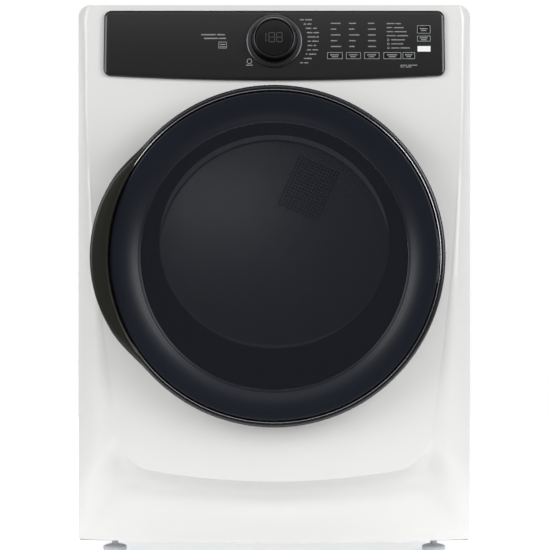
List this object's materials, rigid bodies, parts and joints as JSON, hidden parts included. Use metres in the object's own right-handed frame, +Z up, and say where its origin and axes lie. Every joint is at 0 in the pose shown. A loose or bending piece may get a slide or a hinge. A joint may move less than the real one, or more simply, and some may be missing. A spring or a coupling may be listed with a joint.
{
  "type": "clothes dryer",
  "caption": "Front-loading clothes dryer with a round side-hinged glass door, dark control panel with dial, tumbling drum and rear exhaust collar.",
  "frame": {"origin": "centre of the bounding box's footprint, at the floor", "axes": "+X to the right seen from the front, +Y to the rear, +Z up; the door faces -Y"},
  "size_m": [0.686, 0.8, 0.965],
  "materials": {
    "white_enamel": "smooth white enamel",
    "galvanised_sheet": "zinc coated sheet",
    "drum_steel": "stainless, satin",
    "black_gloss": "high gloss",
    "handle_gloss": "dark gloss",
    "dark_chrome": "darkened chrome plating",
    "smoked_glass": "smoked, polished",
    "door_glass": "clear, polished",
    "grey_plastic": "matte",
    "light_plastic": "satin",
    "black_plastic": "matte",
    "seal_rubber": "matte",
    "felt": "wool felt",
    "circuit_board": "solder mask",
    "motor_paint": "semi-gloss",
    "steel": "plain steel",
    "filter_mesh": "fine mesh in a frame"
  },
  "bodies": {
    "cabinet": {"base_pan": "galvanised_sheet", "side_panel_left": "white_enamel", "side_panel_right": "white_enamel", "rear_panel": "galvanised_sheet", "top_panel": "white_enamel", "front_panel": "white_enamel", "terminal_cover": "galvanised_sheet", "console_fascia": "black_gloss", "knob_base_ring": "dark_chrome", "display_lens": "black_gloss", "ui_board": "circuit_board", "front_bulkhead": "galvanised_sheet", "door_opening_ring": "grey_plastic", "rear_bulkhead": "galvanised_sheet", "front_drum_seal": "felt", "rear_drum_seal": "felt", "roller_axle_left": "steel", "roller_axle_right": "steel", "motor_body": "motor_paint", "drum_belt": "seal_rubber", "blower_housing": "grey_plastic", "exhaust_duct": "galvanised_sheet", "lint_chute": "grey_plastic", "heater_housing": "galvanised_sheet", "door_seal": "seal_rubber", "hinge_bracket": "steel", "hinge_pin": "steel", "latch_catch": "black_plastic"},
    "knob": {"knob_ring": "dark_chrome"},
    "drum": {"drum_shell": "drum_steel", "drum_lifter_1": "light_plastic", "drum_lifter_2": "light_plastic", "drum_lifter_3": "light_plastic"},
    "fan_drive": {"motor_shaft": "steel", "blower_wheel": "grey_plastic"},
    "idler_arm": {"idler_arm": "steel"},
    "idler_wheel": {"idler_pulley": "black_plastic"},
    "roller_left": {"drum_roller_left": "black_plastic"},
    "roller_right": {"drum_roller_right": "black_plastic"},
    "filter": {"lint_filter": "filter_mesh"},
    "door": {"door_ring": "dark_chrome", "door_handle": "handle_gloss", "door_lens": "smoked_glass", "door_inner_frame": "light_plastic", "door_glass_bowl": "door_glass", "hinge_leaf": "steel", "door_strike": "steel"},
    "plunger": {"door_switch_plunger": "light_plastic"},
    "key_dry_level": {"key_dry_level": "black_gloss"},
    "key_temperature": {"key_temperature": "black_gloss"},
    "key_time": {"key_time": "black_gloss"},
    "key_option_back": {"key_option_back": "black_gloss"},
    "key_option_next": {"key_option_next": "black_gloss"},
    "key_power": {"key_power": "black_gloss"},
    "key_drum_light": {"key_drum_light": "black_gloss"},
    "key_start_pause": {"key_start_pause": "black_gloss"},
    "leg_front_left": {"leg_front_left": "black_plastic"},
    "leg_front_right": {"leg_front_right": "black_plastic"},
    "leg_rear_left": {"leg_rear_left": "black_plastic"},
    "leg_rear_right": {"leg_rear_right": "black_plastic"}
  },
  "joints": [
    {"name": "door_hinge", "type": "hinge", "parent": "cabinet", "child": "door", "pos_m": [0.272, -0.37, 0.526], "axis": [0, 0, 1], "range_deg": [0, 105]},
    {"name": "drum_spin", "type": "hinge", "parent": "cabinet", "child": "drum", "pos_m": [0, 0, 0.545], "axis": [0, 1, 0], "continuous": true},
    {"name": "fan_drive_spin", "type": "hinge", "parent": "cabinet", "child": "fan_drive", "pos_m": [0.155, 0, 0.136], "axis": [0, 1, 0], "continuous": true},
    {"name": "roller_left_spin", "type": "hinge", "parent": "cabinet", "child": "roller_left", "pos_m": [-0.1895, 0.274, 0.24174], "axis": [0, 1, 0], "continuous": true},
    {"name": "roller_right_spin", "type": "hinge", "parent": "cabinet", "child": "roller_right", "pos_m": [0.1895, 0.274, 0.24174], "axis": [0, 1, 0], "continuous": true},
    {"name": "idler_swing", "type": "hinge", "parent": "cabinet", "child": "idler_arm", "pos_m": [0.25, 0.159, 0.12], "axis": [0, 1, 0], "range_deg": [0, 4], "stiffness_Nm_per_rad": 2},
    {"name": "idler_wheel_spin", "type": "hinge", "parent": "idler_arm", "child": "idler_wheel", "pos_m": [0.212, 0.15, 0.2], "axis": [0, 1, 0], "continuous": true},
    {"name": "lint_filter_slide", "type": "slide", "parent": "cabinet", "child": "filter", "axis": [0, 0, 1], "range_m": [0, 0.155]},
    {"name": "door_switch_slide", "type": "slide", "parent": "cabinet", "child": "plunger", "axis": [0, -1, 0], "range_m": [0, 0.004]},
    {"name": "knob_turn", "type": "hinge", "parent": "cabinet", "child": "knob", "pos_m": [0, -0.3367, 0.90171], "axis": [0, -0.9877, 0.1564], "continuous": true},
    {"name": "key_dry_level_press", "type": "slide", "parent": "cabinet", "child": "key_dry_level", "axis": [0, 0.9877, -0.1564], "range_m": [0, 0.0006], "stiffness_N_per_m": 800},
    {"name": "key_temperature_press", "type": "slide", "parent": "cabinet", "child": "key_temperature", "axis": [0, 0.9877, -0.1564], "range_m": [0, 0.0006], "stiffness_N_per_m": 800},
    {"name": "key_time_press", "type": "slide", "parent": "cabinet", "child": "key_time", "axis": [0, 0.9877, -0.1564], "range_m": [0, 0.0006], "stiffness_N_per_m": 800},
    {"name": "key_option_back_press", "type": "slide", "parent": "cabinet", "child": "key_option_back", "axis": [0, 0.9877, -0.1564], "range_m": [0, 0.0006], "stiffness_N_per_m": 800},
    {"name": "key_option_next_press", "type": "slide", "parent": "cabinet", "child": "key_option_next", "axis": [0, 0.9877, -0.1564], "range_m": [0, 0.0006], "stiffness_N_per_m": 800},
    {"name": "key_power_press", "type": "slide", "parent": "cabinet", "child": "key_power", "axis": [0, 0.9877, -0.1564], "range_m": [0, 0.0006], "stiffness_N_per_m": 800},
    {"name": "key_drum_light_press", "type": "slide", "parent": "cabinet", "child": "key_drum_light", "axis": [0, 0.9877, -0.1564], "range_m": [0, 0.0006], "stiffness_N_per_m": 800},
    {"name": "key_start_pause_press", "type": "slide", "parent": "cabinet", "child": "key_start_pause", "axis": [0, 0.9877, -0.1564], "range_m": [0, 0.0006], "stiffness_N_per_m": 800},
    {"name": "leg_front_left_turn", "type": "hinge", "parent": "cabinet", "child": "leg_front_left", "pos_m": [-0.285, -0.235, 0], "axis": [0, 0, 1], "continuous": true},
    {"name": "leg_front_right_turn", "type": "hinge", "parent": "cabinet", "child": "leg_front_right", "pos_m": [0.285, -0.235, 0], "axis": [0, 0, 1], "continuous": true},
    {"name": "leg_rear_left_turn", "type": "hinge", "parent": "cabinet", "child": "leg_rear_left", "pos_m": [-0.285, 0.315, 0], "axis": [0, 0, 1], "continuous": true},
    {"name": "leg_rear_right_turn", "type": "hinge", "parent": "cabinet", "child": "leg_rear_right", "pos_m": [0.285, 0.315, 0], "axis": [0, 0, 1], "continuous": true}
  ],
  "couplings": [
    {"joint": "fan_drive_spin", "follows": "drum_spin", "ratio": 22.929},
    {"joint": "roller_left_spin", "follows": "drum_spin", "ratio": -9.2},
    {"joint": "roller_right_spin", "follows": "drum_spin", "ratio": -9.2},
    {"joint": "idler_wheel_spin", "follows": "drum_spin", "ratio": -16.05},
    {"joint": "door_switch_slide", "follows": "door_hinge", "m_per_rad": 0.0021805}
  ]
}
